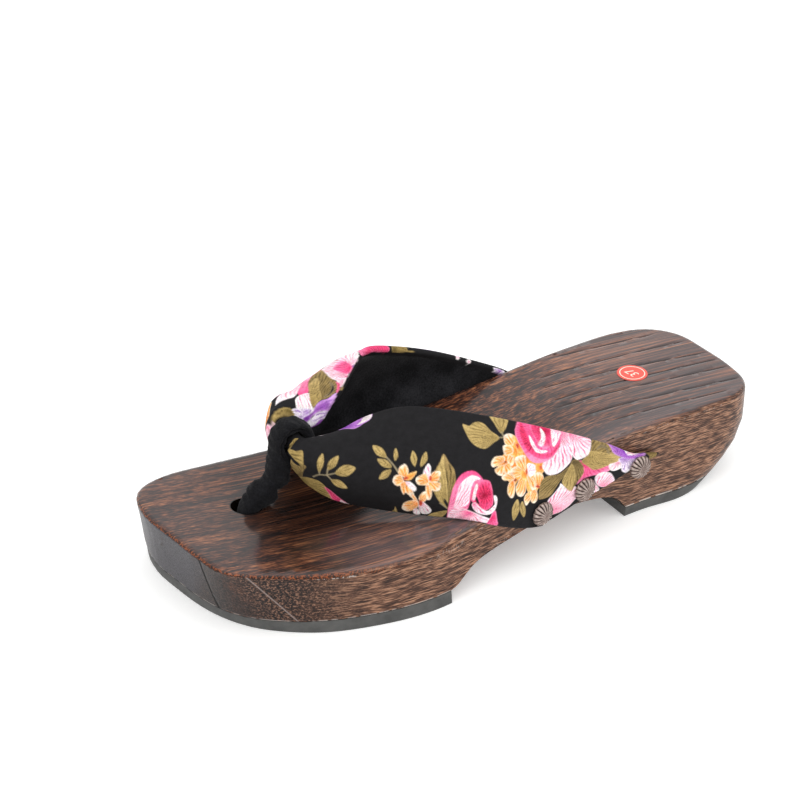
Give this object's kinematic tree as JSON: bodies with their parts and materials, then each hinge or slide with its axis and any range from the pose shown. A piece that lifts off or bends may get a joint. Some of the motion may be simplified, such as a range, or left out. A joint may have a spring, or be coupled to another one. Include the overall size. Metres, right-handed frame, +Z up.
{
  "type": "geta sandal",
  "caption": "Left geta sandal with a low carved wooden sole, arched underneath, and a wide stuffed V strap tied down by a toe cord.",
  "frame": {"origin": "on the floor under the middle of the shoe's bounding box", "axes": "+Z up from the floor, +Y from toe to heel, +X to the outer (little toe) side of the left shoe"},
  "size_m": [0.0951, 0.242, 0.063],
  "materials": {
    "burnt_paulownia": "burnt grain, satin lacquer",
    "black_rubber": "matte",
    "printed_cotton": "printed outside, black velvet inside",
    "black_plush": "short pile",
    "antique_bronze": "aged, satin"
  },
  "bodies": {
    "root": {"wooden_sole": "burnt_paulownia", "forefoot_rubber": "black_rubber", "heel_rubber": "black_rubber", "v_strap": "printed_cotton", "toe_cord": "black_plush", "tack_lateral_1": "antique_bronze", "tack_lateral_2": "antique_bronze", "tack_lateral_3": "antique_bronze", "tack_medial_1": "antique_bronze", "tack_medial_2": "antique_bronze", "tack_medial_3": "antique_bronze"}
  },
  "joints": []
}
